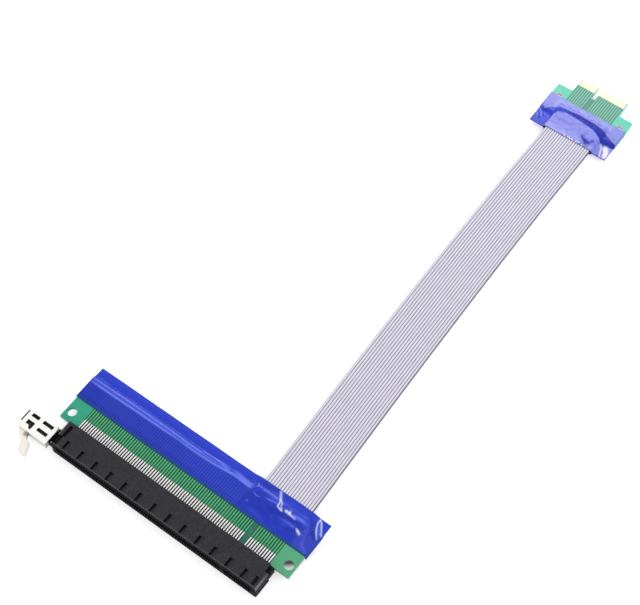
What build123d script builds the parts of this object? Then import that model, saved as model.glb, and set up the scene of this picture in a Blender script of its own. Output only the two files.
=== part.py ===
# Ribbon riser for expansion cards: a long card slot on its own board, two stacked
# flat ribbons, and a short plug board. The slot's housing lies on one flank.
#
# Millimetres. The origin is the middle of the housing's lower flank, on the table.
# +X runs along the slot, +Y from the slot's mouth towards the ribbons, +Z up.

from build123d import *
from math import hypot, radians, tan
import os

os.makedirs("parts", exist_ok=True)

# Contact rows of the long slot
contact_pitch = 1.0
short_row = 11
long_row = 71
key_gap = 3.0  # centre to centre of the contacts on each side of the key
row_end_margin = 3.0  # last contact's centre to the housing's end

# Slot housing
housing_depth = 10.2  # mouth to back
housing_height = 7.5  # flank to flank
card_slot_width = 1.8
card_slot_depth = 7.4
card_slot_margin = 1.2  # last contact's centre to the card slot's end
key_width = 1.7
key_recess = 0.8  # the key bar stands this far inside the mouth
cavity_width = 0.6
cavity_height = 2.0
end_chamfer = 0.5

# Wedge notches on both flanks, deepest at the rear, and the pockets at both ends
notch_count = 13
notch_pitch = 6.45
notch_first = 4.5  # housing's latch end to the first notch's steep wall
notch_width = 1.7
notch_length = 3.6
notch_depth = 0.72
notch_front_share = 0.3  # the notch's front end against its rear end
notch_from_mouth = 0.5
key_pocket_width = 1.3
key_pocket_length = 3.4
key_pocket_depth = 0.5
key_pocket_from_end = 1.3
key_pocket_from_mouth = 0.8
key_step_length = 1.4  # step down at the housing's rear corner
key_step_width = 3.2
key_step_depth = 2.0
end_pocket_length = 2.1
end_pocket_width = 3.7
end_pocket_from_mouth = 0.55
end_groove_width = 1.4
end_groove_length = 4.7
end_groove_depth = 1.0
end_groove_inset = 1.4

# Ear at the latch end, split for the latch's tongue
ear_length = 1.8
ear_width = 6.1
ear_from_mouth = 0.35
ear_thickness = 2.9
ear_slot = 1.4
ear_slot_in_end = 0.5  # how far the split runs into the housing's end wall
pivot_inset = 0.95  # ear's outer edge to the pivot's centre
pivot_from_back = 1.3  # ear's rear edge to the pivot's centre
pivot_radius = 0.6
pivot_clearance = 0.05
boss_height = 0.35
boss_end_gap = 0.1

# Latch
latch_gap = 0.2  # ear's outer edge to the latch's body
latch_thickness = 3.5
latch_length = 13.4
latch_front = 1.1  # body's front edge ahead of the mouth
latch_back = 1.55  # body's rear edge behind the pivot
latch_relief = 0.7  # how much the body's inner end falls away behind the pivot
tongue_radius = 1.2
tongue_thickness = 1.2
pocket_depth = 1.3
pocket_wall = 1.1
pocket_from_ear = 1.55
pocket_row_width = 1.2
pocket_inner_length = 4.3
pocket_rib = 1.95
pocket_outer_length = 3.1
hook_pocket_width = 1.7  # the outer front pocket is wider, and runs on towards the hook's root
hook_pocket_run_on = 1.1
hook_pocket_run_width = 0.9
hook_pocket_slope = 0.7
slit_width = 0.35
slit_length = 4.4
slit_from_end = 0.6
hook_thickness = 2.4

# The hook's two sides, from the body to the tip: distance from the latch's outer end,
# and distance ahead of the body's front edge
hook_outer_side = (
    (1.3, 0.0),
    (2.5, 1.3),
    (3.9, 2.5),
    (5.2, 3.4),
    (5.9, 4.7),
    (6.5, 5.9),
    (7.1, 7.1),
)
hook_inner_side = (
    (5.4, 0.0),
    (5.7, 0.9),
    (6.3, 1.8),
    (6.9, 2.4),
    (8.1, 2.4),
    (8.9, 4.0),
    (9.6, 5.6),
    (10.1, 6.8),
    (9.9, 7.1),
)

# Contacts
contact_width = 0.4
contact_thickness = 0.22
contact_tail = 2.9  # length of the tail on the board
contact_knee = 2.9  # the knee lies this far inside the housing's back
crown_from_mouth = 2.4
crown_reach = 0.12  # the blade's crown stands this far into the card slot
tip_from_mouth = 1.2
tip_lift = 0.5

# Slot board
board_thickness = 1.6
board_gap = 0.3  # housing's back to the board's edge
slot_board_past_housing = 5.5  # at each end
slot_board_depth = 18.0
slot_hole_radius = 1.75
slot_hole_from_end = 2.5
slot_hole_from_edge = 3.7
pad_length = 4.0
pad_width = 0.62
pad_thickness = 0.1

# Ribbons
wire_count = 19
wire_pitch = 1.06
wire_diameter = 0.95
ribbon_gap = 0.05  # between the two ribbons, and between a ribbon and a board
ribbon_overlap = 1.5  # a ribbon's cut end lies this far in over its board
ribbon_from_end = 17.4  # slot board's key end to the ribbons' middle
ribbon_sideways = 4.2  # the plug end lies this far back towards the latch
ribbon_span = 202.6  # cut end to cut end, measured along Y
ribbon_shelf = 0.5  # a ribbon stays level this far past its board's edge
ribbon_step = 3.7  # and is down at the middle plane by here
ribbon_level = 4.0  # then level for this far, before the free part

# Middle plane of the ribbons' free part: share of its length, height above the table
ribbon_arch = (
    (0.04, 4.1),
    (0.12, 5.0),
    (0.28, 6.4),
    (0.48, 7.1),
    (0.67, 6.6),
    (0.83, 4.9),
    (0.92, 3.2),
    (0.97, 2.25),
)

# Wire joints: bare tinned ends, soldered down on their pads
joint_width = 0.6
joint_length = 3.4
joint_lead = 1.2  # the tape starts to rise this far ahead of the joints

# Film tape, at both boards
tape_thickness = 0.2
tape_gap = 0.1  # tape to the wires and joints under it
tape_slope = 1.2  # length of the slope from a board's face to the middle plane
slot_tape_past_board = 0.5  # at each end
slot_tape_from_edge = 9.1  # slot board's front edge to the tape
slot_tape_behind = 5.4  # behind the slot board's rear edge
plug_tape_past_ears = 0.1  # at each end
plug_tape_on_board = 7.7
plug_tape_behind = 8.4

# Plug board
plug_short_width = 7.65
plug_long_width = 11.65
plug_key_width = 1.9
plug_key_depth = 6.5
plug_edge_reach = 7.7
plug_ear_length = 34.0
plug_ear_depth = 13.2
plug_bevel = 0.4
plug_shoulder_radius = 0.8
plug_hole_radius = 1.6
plug_hole_from_end = 3.2
plug_hole_from_edge = 7.9
plug_edge_margin = 1.1  # card edge's side to the first finger's centre
plug_short_row = 7
finger_width = 0.7
finger_length = 3.2
finger_thickness = 0.05
finger_from_tip = 0.45

# Worked out from the sizes above
row_length = (short_row - 1 + long_row - 1) * contact_pitch + key_gap
housing_length = row_length + 2 * row_end_margin
mouth_y = -housing_depth / 2
back_y = housing_depth / 2
mid_z = housing_height / 2
latch_end_x = -housing_length / 2
key_end_x = housing_length / 2

first_contact_x = row_length / 2
short_xs = [first_contact_x - i * contact_pitch for i in range(short_row)]
long_xs = [short_xs[-1] - key_gap - i * contact_pitch for i in range(long_row)]
contact_xs = short_xs + long_xs
key_x = short_xs[-1] - key_gap / 2

slot_board_length = housing_length + 2 * slot_board_past_housing
slot_hole_spacing = slot_board_length - 2 * slot_hole_from_end
slot_tape_length = slot_board_length + 2 * slot_tape_past_board
slot_edge_y = back_y + board_gap
slot_rear_y = slot_edge_y + slot_board_depth
slot_top_z = mid_z + board_thickness / 2

ribbon_start_x = slot_board_length / 2 - ribbon_from_end
ribbon_end_x = ribbon_start_x - ribbon_sideways
ribbon_start_y = slot_rear_y - ribbon_overlap
ribbon_end_y = ribbon_start_y + ribbon_span
ribbon_width = wire_count * wire_pitch
ribbon_slant = ribbon_sideways / ribbon_span
joint_from_cut = ribbon_gap + ribbon_slant * ribbon_width / 2
plug_rear_y = ribbon_end_y - ribbon_overlap
plug_shoulder_y = plug_rear_y + plug_ear_depth
plug_tip_y = plug_shoulder_y + plug_edge_reach
plug_x = ribbon_end_x
plug_hole_spacing = plug_ear_length - 2 * plug_hole_from_end
plug_tape_length = plug_ear_length + 2 * plug_tape_past_ears
# the plug end rests on its lower tape, which wraps the lower ribbon
plug_bottom_z = tape_thickness + tape_gap + wire_diameter + ribbon_gap
plug_mid_z = plug_bottom_z + board_thickness / 2

plug_edge_width = plug_short_width + plug_key_width + plug_long_width
wire_xs = [(i - (wire_count - 1) / 2) * wire_pitch for i in range(wire_count)]


def save(piece, name):
    piece.part.label = name
    export_step(piece.part, f"parts/{name}.step")


def flip(middle, z, side):
    """A height above the middle plane, or the same distance below it."""
    return middle + side * (z - middle)


# Slot housing
card_slot_length = row_length + 2 * card_slot_margin
card_slot_end = card_slot_length / 2
mouth_plane = Plane.XZ.offset(-mouth_y)

# the card slot's two lengths, on each side of the key bar
slot_lengths = (
    (-card_slot_end, key_x - key_width / 2),
    (key_x + key_width / 2, card_slot_end),
)
cavity_offset = card_slot_width / 2 + cavity_height / 2

ear_outer_x = latch_end_x - ear_length
ear_front_y = mouth_y + ear_from_mouth
ear_back_y = ear_front_y + ear_width
pivot_x = ear_outer_x + pivot_inset
pivot_y = ear_back_y - pivot_from_back

# one wedge notch: a block cut off along a floor that rises to the key side and to the front
notch_rear_y = mouth_y + notch_from_mouth + notch_length
notch_rear_corner = Vector(0, notch_rear_y, housing_height - notch_depth)
to_key_side = Vector(notch_width, 0, notch_depth)
to_front = Vector(0, -notch_length, notch_depth * (1 - notch_front_share))
notch_floor = Plane(origin=notch_rear_corner, x_dir=to_key_side, z_dir=to_front.cross(to_key_side))
with BuildPart() as notch_cut:
    with BuildSketch(Plane.XY.offset(housing_height - 2 * notch_depth)):
        with Locations((notch_width / 2, notch_rear_y - notch_length / 2)):
            Rectangle(notch_width, notch_length)
    extrude(amount=4 * notch_depth)
    split(bisect_by=notch_floor, keep=Keep.TOP)
notch_pair = (notch_cut.part, notch_cut.part.mirror(Plane.XY.offset(mid_z)))

with BuildPart() as slot_housing:
    with BuildSketch():
        Rectangle(housing_length, housing_depth)
    extrude(amount=housing_height)
    end_edges = slot_housing.faces().sort_by(Axis.X)[-1].edges().filter_by(Axis.Y)
    chamfer(end_edges, end_chamfer)

    # wedge notches, then a pocket and a step at the key end
    notch_xs = [latch_end_x + notch_first + i * notch_pitch for i in range(notch_count)]
    add([notch.moved(Location((x, 0, 0))) for x in notch_xs for notch in notch_pair], mode=Mode.SUBTRACT)
    key_pocket_x = key_end_x - key_pocket_from_end - key_pocket_width / 2
    key_pocket_y = mouth_y + key_pocket_from_mouth + key_pocket_length / 2
    for z, amount in ((0, 1), (housing_height, -1)):
        with BuildSketch(Plane.XY.offset(z)):
            with Locations((key_pocket_x, key_pocket_y)):
                Rectangle(key_pocket_width, key_pocket_length)
        extrude(amount=amount * key_pocket_depth, mode=Mode.SUBTRACT)
        with BuildSketch(Plane.XY.offset(z)):
            with Locations((key_end_x - key_step_length / 2, back_y - key_step_width / 2)):
                Rectangle(key_step_length, key_step_width)
        extrude(amount=amount * key_step_depth, mode=Mode.SUBTRACT)

    # mouth: a shallow slot over the key bar, then the card slot on each side of it
    with BuildSketch(mouth_plane):
        with Locations((0, mid_z)):
            Rectangle(card_slot_length, card_slot_width)
    extrude(amount=-key_recess, mode=Mode.SUBTRACT)
    with BuildSketch(mouth_plane):
        for low_x, high_x in slot_lengths:
            with Locations(((low_x + high_x) / 2, mid_z)):
                Rectangle(high_x - low_x, card_slot_width)
    extrude(amount=-card_slot_depth, mode=Mode.SUBTRACT)

    # a cavity for each contact, from the mouth right through to the back
    with BuildSketch(mouth_plane):
        with Locations([(x, mid_z + side * cavity_offset) for x in contact_xs for side in (-1, 1)]):
            Rectangle(cavity_width, cavity_height)
    extrude(amount=-housing_depth, mode=Mode.SUBTRACT)

    # latch end: open pockets down to the ear's level, and a shallow groove behind each
    pocket_height = (housing_height - ear_thickness) / 2
    pocket_y = mouth_y + end_pocket_from_mouth + end_pocket_width / 2
    groove_x = latch_end_x + end_groove_inset + end_groove_width / 2
    groove_y = mouth_y + end_pocket_from_mouth + end_pocket_width + end_groove_length / 2
    for z, amount in ((0, 1), (housing_height, -1)):
        with BuildSketch(Plane.XY.offset(z)):
            with Locations((latch_end_x + end_pocket_length / 2, pocket_y)):
                Rectangle(end_pocket_length, end_pocket_width)
        extrude(amount=amount * pocket_height, mode=Mode.SUBTRACT)
        with BuildSketch(Plane.XY.offset(z)):
            with Locations((groove_x, groove_y)):
                Rectangle(end_groove_width, end_groove_length)
        extrude(amount=amount * end_groove_depth, mode=Mode.SUBTRACT)

    # ear, split for the tongue and bored for the latch's bosses
    with BuildSketch(Plane.XY.offset(mid_z)):
        with Locations((latch_end_x - ear_length / 2, ear_front_y + ear_width / 2)):
            Rectangle(ear_length, ear_width)
    extrude(amount=ear_thickness / 2, both=True)
    split_length = ear_length + ear_slot_in_end
    split_front_y = pivot_y - 2 * tongue_radius
    with BuildSketch(Plane.XY.offset(mid_z)):
        with Locations((ear_outer_x + split_length / 2, (split_front_y + ear_back_y) / 2)):
            Rectangle(split_length, ear_back_y - split_front_y)
    extrude(amount=ear_slot / 2, both=True, mode=Mode.SUBTRACT)
    boss_hole_height = tongue_thickness / 2 + boss_height + boss_end_gap
    with BuildSketch(Plane.XY.offset(mid_z)):
        with Locations((pivot_x, pivot_y)):
            Circle(pivot_radius + pivot_clearance)
    extrude(amount=boss_hole_height, both=True, mode=Mode.SUBTRACT)
save(slot_housing, "slot_housing")


# Contacts: a spring blade in its cavity, and a tail on the board's pad
def contact_outline(side):
    """A strip of even thickness from the tail to the crown, then thinned to an edge at the tip."""
    half = contact_thickness / 2
    tail_z = slot_top_z + pad_thickness + half
    crown_z = mid_z + card_slot_width / 2 - crown_reach + half
    bends = [
        (slot_edge_y + contact_tail, tail_z),
        (back_y - contact_knee, tail_z),
        (mouth_y + crown_from_mouth, crown_z),
    ]
    inner_face = [(y, z - half) for y, z in bends]
    outer_face = [(y, z + half) for y, z in reversed(bends)]
    tip = (mouth_y + tip_from_mouth, crown_z + tip_lift)
    return [(y, flip(mid_z, z, side)) for y, z in (*inner_face, tip, *outer_face)]


def repeat(one, xs, name):
    """Copies of one piece along X, each a solid of its own."""
    with BuildPart() as row:
        with Locations([(x, 0, 0) for x in xs]):
            add(one.part)
    save(row, name)


def build_contacts(side, name):
    with BuildPart() as contact:
        with BuildSketch(Plane.YZ):
            with BuildLine():
                Polyline(*contact_outline(side), close=True)
            make_face()
        extrude(amount=contact_width / 2, both=True)
    repeat(contact, contact_xs, name)


# Flat copper: equal pads on a face of a board
def build_pads(centres, width, length, thickness, face_z, side, name):
    with BuildPart() as pads:
        with BuildSketch(Plane.XY.offset(face_z)):
            with Locations(centres):
                Rectangle(width, length)
        extrude(amount=side * thickness)
    save(pads, name)


# Latch
latch_right_x = ear_outer_x - latch_gap
latch_left_x = latch_right_x - latch_length
latch_front_y = mouth_y - latch_front
latch_back_y = pivot_y + latch_back
hook_sides = [*reversed(hook_outer_side), *hook_inner_side]
hook_outline = [(latch_left_x + across, latch_front_y - ahead) for across, ahead in hook_sides]

with BuildPart() as slot_latch:
    with BuildSketch(Plane.XY.offset(mid_z)):
        with BuildLine():
            Polyline((latch_right_x, latch_front_y), (latch_right_x, pivot_y),
                     (latch_right_x - latch_relief, latch_back_y), (latch_left_x, latch_back_y),
                     (latch_left_x, latch_front_y + pocket_wall),
                     (latch_left_x + hook_outer_side[0][0], latch_front_y), close=True)
        make_face()
    extrude(amount=latch_thickness / 2, both=True)
    with BuildSketch(Plane.XY.offset(mid_z)):
        with BuildLine():
            Polyline(*hook_outline, close=True)
        make_face()
    extrude(amount=hook_thickness / 2, both=True)

    # four cored pockets and a slit, on both faces
    inner_x = latch_right_x - pocket_from_ear - pocket_inner_length / 2
    outer_right_x = latch_right_x - pocket_from_ear - pocket_inner_length - pocket_rib
    outer_left_x = outer_right_x - pocket_outer_length
    outer_x = (outer_right_x + outer_left_x) / 2
    back_row_y = latch_back_y - pocket_wall - pocket_row_width / 2
    front_row_y = latch_front_y + 2 * pocket_wall + pocket_row_width / 2
    slit_x = latch_left_x + slit_from_end
    run_top_y = front_row_y + hook_pocket_width - pocket_row_width / 2
    run_mid_y = run_top_y - hook_pocket_width
    run_end_y = run_mid_y - hook_pocket_run_on
    run_left_x = outer_right_x - hook_pocket_run_width
    for side in (-1, 1):
        face_z = mid_z + side * latch_thickness / 2
        with BuildSketch(Plane.XY.offset(face_z)):
            with Locations((inner_x, back_row_y), (inner_x, front_row_y)):
                Rectangle(pocket_inner_length, pocket_row_width)
            with Locations((outer_x, back_row_y)):
                Rectangle(pocket_outer_length, pocket_row_width)
            with BuildLine():
                Polyline((outer_left_x, run_top_y), (outer_right_x, run_top_y), (outer_right_x, run_end_y),
                         (run_left_x, run_end_y), (run_left_x - hook_pocket_slope, run_mid_y),
                         (outer_left_x, run_mid_y), close=True)
            make_face()
            with Locations((slit_x, (back_row_y + front_row_y) / 2)):
                Rectangle(slit_width, slit_length)
        extrude(amount=-side * pocket_depth, mode=Mode.SUBTRACT)

    # tongue in the ear's split, with a boss on each face
    with BuildSketch(Plane.XY.offset(mid_z)):
        with Locations((pivot_x, pivot_y)):
            Circle(tongue_radius)
        with Locations(((latch_right_x - latch_relief + pivot_x) / 2, pivot_y)):
            Rectangle(pivot_x - latch_right_x + latch_relief, 2 * tongue_radius)
    extrude(amount=tongue_thickness / 2, both=True)
    with BuildSketch(Plane.XY.offset(mid_z)):
        with Locations((pivot_x, pivot_y)):
            Circle(pivot_radius)
    extrude(amount=tongue_thickness / 2 + boss_height, both=True)
save(slot_latch, "slot_latch")

# Slot board
with BuildPart() as slot_board:
    with BuildSketch(Plane.XY.offset(mid_z)):
        with Locations((0, slot_edge_y + slot_board_depth / 2)):
            Rectangle(slot_board_length, slot_board_depth)
        with Locations((0, slot_edge_y + slot_hole_from_edge)):
            with GridLocations(slot_hole_spacing, 0, 2, 1):
                Circle(slot_hole_radius, mode=Mode.SUBTRACT)
    extrude(amount=board_thickness / 2, both=True)
save(slot_board, "slot_board")

# Plug board: card edge with its key notch, and two ears with holes
key_left_x = plug_x - plug_edge_width / 2 + plug_short_width
with BuildPart() as plug_board:
    with BuildSketch(Plane.XY.offset(plug_bottom_z)):
        with Locations((plug_x, plug_rear_y + plug_ear_depth / 2)):
            Rectangle(plug_ear_length, plug_ear_depth)
        with Locations((plug_x, (plug_rear_y + plug_tip_y) / 2)):
            Rectangle(plug_edge_width, plug_tip_y - plug_rear_y)
    extrude(amount=board_thickness)
    tip_edges = plug_board.faces().sort_by(Axis.Y)[-1].edges().filter_by(Axis.X)
    chamfer(tip_edges, plug_bevel)
    shoulder = plug_board.edges().filter_by(Axis.Z).filter_by_position(
        Axis.Y, plug_shoulder_y - 0.01, plug_shoulder_y + 0.01).filter_by_position(
        Axis.X, plug_x - plug_edge_width / 2 - 0.01, plug_x + plug_edge_width / 2 + 0.01)
    fillet(shoulder, plug_shoulder_radius)
    with BuildSketch(Plane.XY.offset(plug_bottom_z)):
        key_centre_x = key_left_x + plug_key_width / 2
        notch_bottom_y = plug_tip_y - plug_key_depth + plug_key_width / 2
        with Locations((key_centre_x, (notch_bottom_y + plug_tip_y) / 2)):
            Rectangle(plug_key_width, plug_tip_y - notch_bottom_y)
        with Locations((key_centre_x, notch_bottom_y)):
            Circle(plug_key_width / 2)
        with Locations((plug_x, plug_rear_y + plug_hole_from_edge)):
            with GridLocations(plug_hole_spacing, 0, 2, 1):
                Circle(plug_hole_radius)
    extrude(amount=board_thickness, mode=Mode.SUBTRACT)
save(plug_board, "plug_board")


# Ribbons: two flat ribbons, one over the other, in one upright plane
run_length = hypot(ribbon_span, ribbon_end_x - ribbon_start_x)
run_dir = Vector(ribbon_end_x - ribbon_start_x, ribbon_span, 0).normalized()


def ribbon_route(side):
    """Points along the run and their heights, from the slot board to the plug board."""
    half = (wire_diameter + ribbon_gap) / 2
    on_board = board_thickness / 2 + ribbon_gap + wire_diameter / 2
    slot_z = mid_z + side * on_board
    plug_z = plug_mid_z + side * on_board
    lift = side * half
    shelf = ribbon_overlap + ribbon_shelf
    step = ribbon_overlap + ribbon_step
    free = step + ribbon_level
    free_length = run_length - 2 * free
    arch = [(free + share * free_length, height + lift) for share, height in ribbon_arch]
    return [
        (0, slot_z),
        (shelf, slot_z),
        (step, mid_z + lift),
        (free, mid_z + lift),
        *arch,
        (run_length - free, plug_mid_z + lift),
        (run_length - step, plug_mid_z + lift),
        (run_length - shelf, plug_z),
        (run_length, plug_z),
    ]


def corner_radii(points):
    """An arc at each corner: 0.45 of the shorter run over the tangent of half the turn."""
    radii = []
    for before, here, after in zip(points, points[1:], points[2:]):
        run_in = (Vector(*here) - Vector(*before))
        run_out = (Vector(*after) - Vector(*here))
        half_turn = radians(run_in.get_angle(run_out)) / 2
        radii.append(0.45 * min(run_in.length, run_out.length) / tan(half_turn))
    return radii


def build_ribbon(side, name):
    points = ribbon_route(side)
    radii = corner_radii(points)
    run_plane = Plane(origin=(ribbon_start_x, ribbon_start_y, 0), x_dir=run_dir,
                      z_dir=run_dir.cross(Vector(0, 0, 1)))
    with BuildPart() as ribbon:
        with BuildSketch(run_plane):
            with BuildLine():
                path = FilletPolyline(*points, radius=radii)
            trace(line_width=wire_diameter)
        extrude(amount=ribbon_width / 2, both=True)
    save(ribbon, name)
    section = ribbon_width * wire_diameter
    print(f"{name}: length {path.length:.1f} mm, volume {ribbon.part.volume:.0f} mm3,"
          f" section x length {section * path.length:.0f} mm3")
    print("  arc radii, mm:", " ".join(f"{r:.0f}" for r in radii))


# Wire joints: each bare wire is soldered down, sloping from its ribbon to the board
def build_joints(middle_x, cut_y, into, face_z, side, name):
    """into is +1 or -1: the way along Y from the ribbon's cut end onto the board."""
    wire_z = face_z + side * (ribbon_gap + wire_diameter / 2)
    start_y = cut_y + into * joint_from_cut
    end_y = start_y + into * joint_length
    with BuildPart() as joint:
        with BuildSketch(Plane.YZ):
            with BuildLine():
                Polyline((start_y, face_z), (start_y, wire_z), (end_y, face_z), close=True)
            make_face()
        extrude(amount=joint_width / 2, both=True)
    repeat(joint, [middle_x + x for x in wire_xs], name)


# Film tape: a sheet stuck to the board, raised over the joints and the ribbon, then
# down to the middle plane, where the upper and lower sheets stick to each other
def build_tape(middle_x, length, ribbon_x, rear_y, away, on_board, beyond, board_mid, side, name):
    """Distances run from the board's rear edge; away is the way along Y off the board."""
    face = board_thickness / 2
    stacked = ribbon_gap / 2 + wire_diameter + tape_gap
    raised = face + ribbon_gap + wire_diameter + tape_gap
    drop = tape_gap + tape_slope
    joint_toe_at = -(ribbon_overlap + joint_length + joint_lead)
    cut_at = -(ribbon_overlap + tape_gap)
    under_sheet = [(beyond, 0), (drop, 0), (tape_gap, face)]
    low_at = ribbon_step + 2 * tape_gap
    flat_top = [(-on_board, face), (tape_gap, face), (drop, 0), (beyond, 0)]
    tunnel_top = [(joint_toe_at, face), (cut_at, raised), (ribbon_shelf, raised),
                  (low_at, stacked), (beyond, stacked)]

    def outline(top, rise, underside):
        upper = [(u, h + rise) for u, h in top]
        ends = [(top[0][0], face)] if rise else []
        points = upper + underside + ends
        return [(rear_y + away * u, board_mid + side * h) for u, h in points]

    inner_width = ribbon_width + 2 * (tape_gap + ribbon_slant * (beyond + ribbon_overlap))
    sections = (
        (outline(flat_top, tape_thickness, under_sheet), middle_x, length, Mode.ADD),
        (outline(tunnel_top, tape_thickness, under_sheet), ribbon_x,
         inner_width + 2 * tape_thickness, Mode.ADD),
        (outline(tunnel_top, 0, under_sheet), ribbon_x, inner_width, Mode.SUBTRACT),
    )
    with BuildPart() as tape:
        for points, centre_x, width, mode in sections:
            with BuildSketch(Plane.YZ.offset(centre_x)):
                with BuildLine():
                    Polyline(*points, close=True)
                make_face()
            extrude(amount=width / 2, both=True, mode=mode)
    save(tape, name)


slot_tail_pad_y = slot_edge_y + pad_length / 2
finger_y = plug_tip_y - finger_from_tip - finger_length / 2
long_side_xs = [plug_x + plug_edge_width / 2 - plug_edge_margin - i * contact_pitch
                for i in range(short_row)]
short_side_xs = [plug_x - plug_edge_width / 2 + plug_edge_margin + i * contact_pitch
                 for i in range(plug_short_row)]

for side, word in ((1, "upper"), (-1, "lower")):
    slot_face = mid_z + side * board_thickness / 2
    plug_face = plug_mid_z + side * board_thickness / 2
    build_contacts(side, f"slot_contacts_{word}")
    build_pads([(x, slot_tail_pad_y) for x in contact_xs], pad_width, pad_length,
               pad_thickness, slot_face, side, f"slot_pads_{word}")
    build_joints(ribbon_start_x, ribbon_start_y, -1, slot_face, side, f"slot_wire_joints_{word}")
    build_tape(0, slot_tape_length, ribbon_start_x, slot_rear_y, 1,
               slot_board_depth - slot_tape_from_edge, slot_tape_behind, mid_z, side,
               f"slot_tape_{word}")
    build_ribbon(side, f"ribbon_{word}")
    build_joints(ribbon_end_x, ribbon_end_y, 1, plug_face, side, f"plug_wire_joints_{word}")
    build_pads([(x, finger_y) for x in long_side_xs + short_side_xs], finger_width,
               finger_length, finger_thickness, plug_face, side, f"plug_fingers_{word}")
    build_tape(plug_x, plug_tape_length, ribbon_end_x, plug_rear_y, -1,
               plug_tape_on_board, plug_tape_behind, plug_mid_z, side, f"plug_tape_{word}")
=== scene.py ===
from math import cos, exp, hypot, pi, sin

import bmesh
import bpy
from mathutils import Matrix, Vector, noise


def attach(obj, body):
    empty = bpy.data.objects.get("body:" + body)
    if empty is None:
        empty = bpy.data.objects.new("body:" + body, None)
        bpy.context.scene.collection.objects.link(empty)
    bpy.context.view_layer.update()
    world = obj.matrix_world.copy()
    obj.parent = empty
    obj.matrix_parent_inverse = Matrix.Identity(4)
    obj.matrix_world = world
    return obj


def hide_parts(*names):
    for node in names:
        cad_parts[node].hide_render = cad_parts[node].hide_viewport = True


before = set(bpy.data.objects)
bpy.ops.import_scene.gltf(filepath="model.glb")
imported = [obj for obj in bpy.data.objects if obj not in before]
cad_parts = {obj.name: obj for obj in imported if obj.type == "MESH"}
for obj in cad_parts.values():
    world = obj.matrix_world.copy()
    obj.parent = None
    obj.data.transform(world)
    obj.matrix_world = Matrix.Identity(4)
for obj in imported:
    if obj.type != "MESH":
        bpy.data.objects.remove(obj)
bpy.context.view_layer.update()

MM = 0.001
SIDES = ((1, "upper"), (-1, "lower"))

# Sizes that part.py sets too. The middle of the housing is at x 0, y 0.
HOUSING_HALF_X = 44.5
HOUSING_HALF_Y = 5.1
HOUSING_HALF_Z = 3.75
END_CHAMFER = 0.5
NOTCH_START_X = -40.0
NOTCH_PITCH = 6.45
LATCH_HALF = 1.75
BOARD_HALF = 0.8
SLOT_MID_Z = 3.75
SLOT_FRONT_Y = 5.4
SLOT_REAR_Y = 23.4
PLUG_MID_Z = 2.1
PLUG_REAR_Y = 223.0
PLUG_X = 28.4
WIRE_COUNT = 19
WIRE_PITCH = 1.06
WIRE_RADIUS = 0.475
JOINT_LENGTH = 3.4
RIBBON_GAP = 0.05
RIBBON_OVERLAP = 1.5
RIBBON_START = (32.6, 21.9)
RIBBON_END = (28.4, 224.5)
RIBBON_HALF = WIRE_COUNT * WIRE_PITCH / 2
SHORT_ROW_XS = [41.5 - i for i in range(11)]
LONG_ROW_XS = [28.5 - i for i in range(71)]
CONTACT_XS = SHORT_ROW_XS + LONG_ROW_XS
FINGER_XS = [PLUG_X + 9.5 - i for i in range(11)] + [PLUG_X - 9.5 + i for i in range(7)]


# Camera, where the photo's camera stood, in metres
camera_data = bpy.data.cameras.new("photo_camera")
camera_data.sensor_width = 36.0
camera_data.lens = 84.2
camera_data.clip_start = 0.01
camera = bpy.data.objects.new("photo_camera", camera_data)
camera.location = (0.1615, -0.1278, 0.4739)
camera.rotation_euler = Vector((-0.3037, 0.4105, -0.8598)).to_track_quat("-Z", "Y").to_euler()
bpy.context.scene.collection.objects.link(camera)
bpy.context.scene.camera = camera


# Small tools
def linear(red, green, blue):
    """A colour from 0 to 255, as a paint program gives it, made linear."""
    def channel(value):
        value = value / 255
        return value / 12.92 if value <= 0.04045 else ((value + 0.055) / 1.055) ** 2.4
    return (channel(red), channel(green), channel(blue), 1.0)


def mix(first, second, share):
    return tuple(a + (b - a) * share for a, b in zip(first, second))


def ease(low, high, value):
    """0 below low, 1 above high, and a smooth rise between."""
    share = min(1.0, max(0.0, (value - low) / (high - low)))
    return share * share * (3 - 2 * share)


def inside(low, high, soft, value):
    """1 between low and high, falling smoothly to 0 over soft on each side."""
    return ease(low - soft, low, value) * (1 - ease(high, high + soft, value))


def from_line(start, end, x, y):
    """Distance from a point to a short line, and how far along the line it is nearest."""
    along_x, along_y = end[0] - start[0], end[1] - start[1]
    share = ((x - start[0]) * along_x + (y - start[1]) * along_y) / (along_x ** 2 + along_y ** 2)
    share = min(1.0, max(0.0, share))
    return hypot(x - start[0] - share * along_x, y - start[1] - share * along_y), share


def along(points, x):
    """Height at x of a chain of straight lines, whose points are in order of x."""
    for start, end in zip(points, points[1:]):
        if x <= end[0]:
            share = max(0.0, (x - start[0]) / (end[0] - start[0]))
            return start[1] + (end[1] - start[1]) * share
    return points[-1][1]


def soft_line(half_width, *points):
    """A fold or a reflection along points of x, y and strength: how strong it is at a place."""
    reach = 2.5 * half_width
    low_x, high_x = min(p[0] for p in points) - reach, max(p[0] for p in points) + reach
    low_y, high_y = min(p[1] for p in points) - reach, max(p[1] for p in points) + reach

    def strength(x, y):
        if not (low_x < x < high_x and low_y < y < high_y):
            return 0.0
        best = 0.0
        for start, end in zip(points, points[1:]):
            away, share = from_line(start, end, x, y)
            peak = start[2] + (end[2] - start[2]) * share
            best = max(best, peak * exp(-(away / half_width) ** 2))
        return best
    return strength


# Finishes
def arithmetic(tree):
    """A short way to write sums as nodes. More than two values are taken in turn."""
    def pair(operation, *values):
        node = tree.nodes.new("ShaderNodeMath")
        node.operation = operation
        for socket, value in zip(node.inputs, values):
            if isinstance(value, (int, float)):
                socket.default_value = value
            else:
                tree.links.new(value, socket)
        return node.outputs["Value"]

    def work(operation, *values):
        while len(values) > 2:
            values = (pair(operation, *values[:2]), *values[2:])
        return pair(operation, *values)
    return work


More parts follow.
